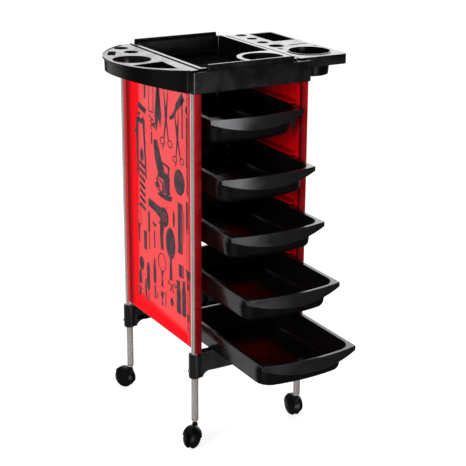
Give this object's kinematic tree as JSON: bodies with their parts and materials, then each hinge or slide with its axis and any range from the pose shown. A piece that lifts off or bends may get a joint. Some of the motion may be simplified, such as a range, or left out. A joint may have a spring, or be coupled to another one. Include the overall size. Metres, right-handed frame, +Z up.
{
  "type": "rolling salon trolley",
  "caption": "Tall rolling trolley on swivel casters with a top tool tray, two lift-off side wings, dished side panels and shallow sliding drawers.",
  "frame": {"origin": "on the floor, under the middle of the whole trolley with its drawers pulled out in steps as stored", "axes": "+Z up, -Y towards the front that the drawers open to, +X to the right seen from the front"},
  "size_m": [0.498, 0.6451, 0.863],
  "materials": {
    "black_plastic": "moulded black plastic, semi-gloss",
    "drawer_plastic": "moulded black plastic, semi-gloss",
    "red_plastic": "moulded red plastic, glossy",
    "red_film": "red film printed with dark tool shapes",
    "post_metal": "satin metal tube",
    "stem_steel": "plated steel",
    "screw_steel": "plated steel",
    "plug_plastic": "black plastic",
    "caster_plastic": "moulded black nylon",
    "wheel_plastic": "black nylon wheel"
  },
  "bodies": {
    "frame": {"top_frame": "black_plastic", "front_cross_rail": "black_plastic", "rear_cross_rail": "black_plastic", "rail_screws": "screw_steel", "top_screws": "screw_steel", "post_plugs": "plug_plastic", "left_side_panel": "red_plastic", "right_side_panel": "red_plastic", "left_printed_film": "red_film", "right_printed_film": "red_film", "front_left_post": "post_metal", "front_right_post": "post_metal", "rear_left_post": "post_metal", "rear_right_post": "post_metal", "front_left_caster_stem": "stem_steel", "front_right_caster_stem": "stem_steel", "rear_left_caster_stem": "stem_steel", "rear_right_caster_stem": "stem_steel"},
    "left_wing": {"left_wing_tray": "black_plastic"},
    "right_wing": {"right_wing_tray": "black_plastic"},
    "drawer_1": {"drawer_1": "drawer_plastic"},
    "drawer_2": {"drawer_2": "drawer_plastic"},
    "drawer_3": {"drawer_3": "drawer_plastic"},
    "drawer_4": {"drawer_4": "drawer_plastic"},
    "drawer_5": {"drawer_5": "drawer_plastic"},
    "front_left_caster": {"front_left_caster_housing": "caster_plastic", "front_left_caster_axle": "stem_steel"},
    "front_left_wheel_a": {"front_left_caster_wheel_a": "wheel_plastic"},
    "front_left_wheel_b": {"front_left_caster_wheel_b": "wheel_plastic"},
    "front_right_caster": {"front_right_caster_housing": "caster_plastic", "front_right_caster_axle": "stem_steel"},
    "front_right_wheel_a": {"front_right_caster_wheel_a": "wheel_plastic"},
    "front_right_wheel_b": {"front_right_caster_wheel_b": "wheel_plastic"},
    "rear_left_caster": {"rear_left_caster_housing": "caster_plastic", "rear_left_caster_axle": "stem_steel"},
    "rear_left_wheel_a": {"rear_left_caster_wheel_a": "wheel_plastic"},
    "rear_left_wheel_b": {"rear_left_caster_wheel_b": "wheel_plastic"},
    "rear_right_caster": {"rear_right_caster_housing": "caster_plastic", "rear_right_caster_axle": "stem_steel"},
    "rear_right_wheel_a": {"rear_right_caster_wheel_a": "wheel_plastic"},
    "rear_right_wheel_b": {"rear_right_caster_wheel_b": "wheel_plastic"}
  },
  "joints": [
    {"name": "drawer_1_slide", "type": "slide", "parent": "frame", "child": "drawer_1", "axis": [0, -1, 0], "range_m": [-0.012, 0.248]},
    {"name": "drawer_2_slide", "type": "slide", "parent": "frame", "child": "drawer_2", "axis": [0, -1, 0], "range_m": [-0.061, 0.199]},
    {"name": "drawer_3_slide", "type": "slide", "parent": "frame", "child": "drawer_3", "axis": [0, -1, 0], "range_m": [-0.102, 0.158]},
    {"name": "drawer_4_slide", "type": "slide", "parent": "frame", "child": "drawer_4", "axis": [0, -1, 0], "range_m": [-0.166, 0.094]},
    {"name": "drawer_5_slide", "type": "slide", "parent": "frame", "child": "drawer_5", "axis": [0, -1, 0], "range_m": [-0.232, 0.028]},
    {"name": "left_wing_lift", "type": "slide", "parent": "frame", "child": "left_wing", "axis": [0, 0, 1], "range_m": [0, 0.08]},
    {"name": "right_wing_lift", "type": "slide", "parent": "frame", "child": "right_wing", "axis": [0, 0, 1], "range_m": [0, 0.08]},
    {"name": "front_left_caster_swivel", "type": "hinge", "parent": "frame", "child": "front_left_caster", "pos_m": [-0.135, -0.055, 0.055], "axis": [0, 0, 1], "continuous": true},
    {"name": "front_left_wheel_a_spin", "type": "hinge", "parent": "front_left_caster", "child": "front_left_wheel_a", "pos_m": [-0.14871, -0.06667, 0.025], "axis": [-0.6481, 0.7615, 0], "continuous": true},
    {"name": "front_left_wheel_b_spin", "type": "hinge", "parent": "front_left_caster", "child": "front_left_wheel_b", "pos_m": [-0.14871, -0.06667, 0.025], "axis": [-0.6481, 0.7615, 0], "continuous": true},
    {"name": "front_right_caster_swivel", "type": "hinge", "parent": "frame", "child": "front_right_caster", "pos_m": [0.135, -0.055, 0.055], "axis": [0, 0, 1], "continuous": true},
    {"name": "front_right_wheel_a_spin", "type": "hinge", "parent": "front_right_caster", "child": "front_right_wheel_a", "pos_m": [0.13806, -0.03726, 0.025], "axis": [0.9854, -0.1702, 0], "continuous": true},
    {"name": "front_right_wheel_b_spin", "type": "hinge", "parent": "front_right_caster", "child": "front_right_wheel_b", "pos_m": [0.13806, -0.03726, 0.025], "axis": [0.9854, -0.1702, 0], "continuous": true},
    {"name": "rear_left_caster_swivel", "type": "hinge", "parent": "frame", "child": "rear_left_caster", "pos_m": [-0.135, 0.279, 0.055], "axis": [0, 0, 1], "continuous": true},
    {"name": "rear_left_wheel_a_spin", "type": "hinge", "parent": "rear_left_caster", "child": "rear_left_wheel_a", "pos_m": [-0.14331, 0.29497, 0.025], "axis": [0.887, 0.4617, 0], "continuous": true},
    {"name": "rear_left_wheel_b_spin", "type": "hinge", "parent": "rear_left_caster", "child": "rear_left_wheel_b", "pos_m": [-0.14331, 0.29497, 0.025], "axis": [0.887, 0.4617, 0], "continuous": true},
    {"name": "rear_right_caster_swivel", "type": "hinge", "parent": "frame", "child": "rear_right_caster", "pos_m": [0.135, 0.279, 0.055], "axis": [0, 0, 1], "continuous": true},
    {"name": "rear_right_wheel_a_spin", "type": "hinge", "parent": "rear_right_caster", "child": "rear_right_wheel_a", "pos_m": [0.11941, 0.288, 0.025], "axis": [0.5, 0.866, 0], "continuous": true},
    {"name": "rear_right_wheel_b_spin", "type": "hinge", "parent": "rear_right_caster", "child": "rear_right_wheel_b", "pos_m": [0.11941, 0.288, 0.025], "axis": [0.5, 0.866, 0], "continuous": true}
  ]
}
